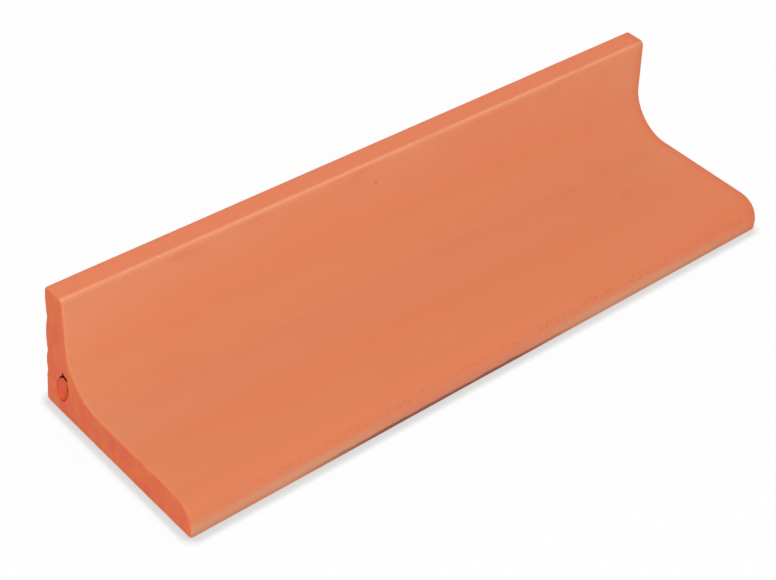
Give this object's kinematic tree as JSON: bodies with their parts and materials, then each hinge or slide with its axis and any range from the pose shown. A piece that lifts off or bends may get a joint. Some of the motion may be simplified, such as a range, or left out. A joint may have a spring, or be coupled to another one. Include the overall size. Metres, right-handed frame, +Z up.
{
  "type": "clay cove tile",
  "caption": "Extruded terracotta cove tile of L section with a coved inner corner, rounded toe, keyed back and core hole, laid where a flat tiled roof meets its parapet wall.",
  "frame": {"origin": "middle of the flat bed, at the bottom centre of the tile's box", "axes": "+X along the length, +Y from the rounded toe towards the keyed back, +Z up from the bed to the top of the wall"},
  "size_m": [0.33, 0.096, 0.059],
  "materials": {
    "clay": "matte"
  },
  "bodies": {
    "root": {"cove_tile": "clay"}
  },
  "joints": []
}
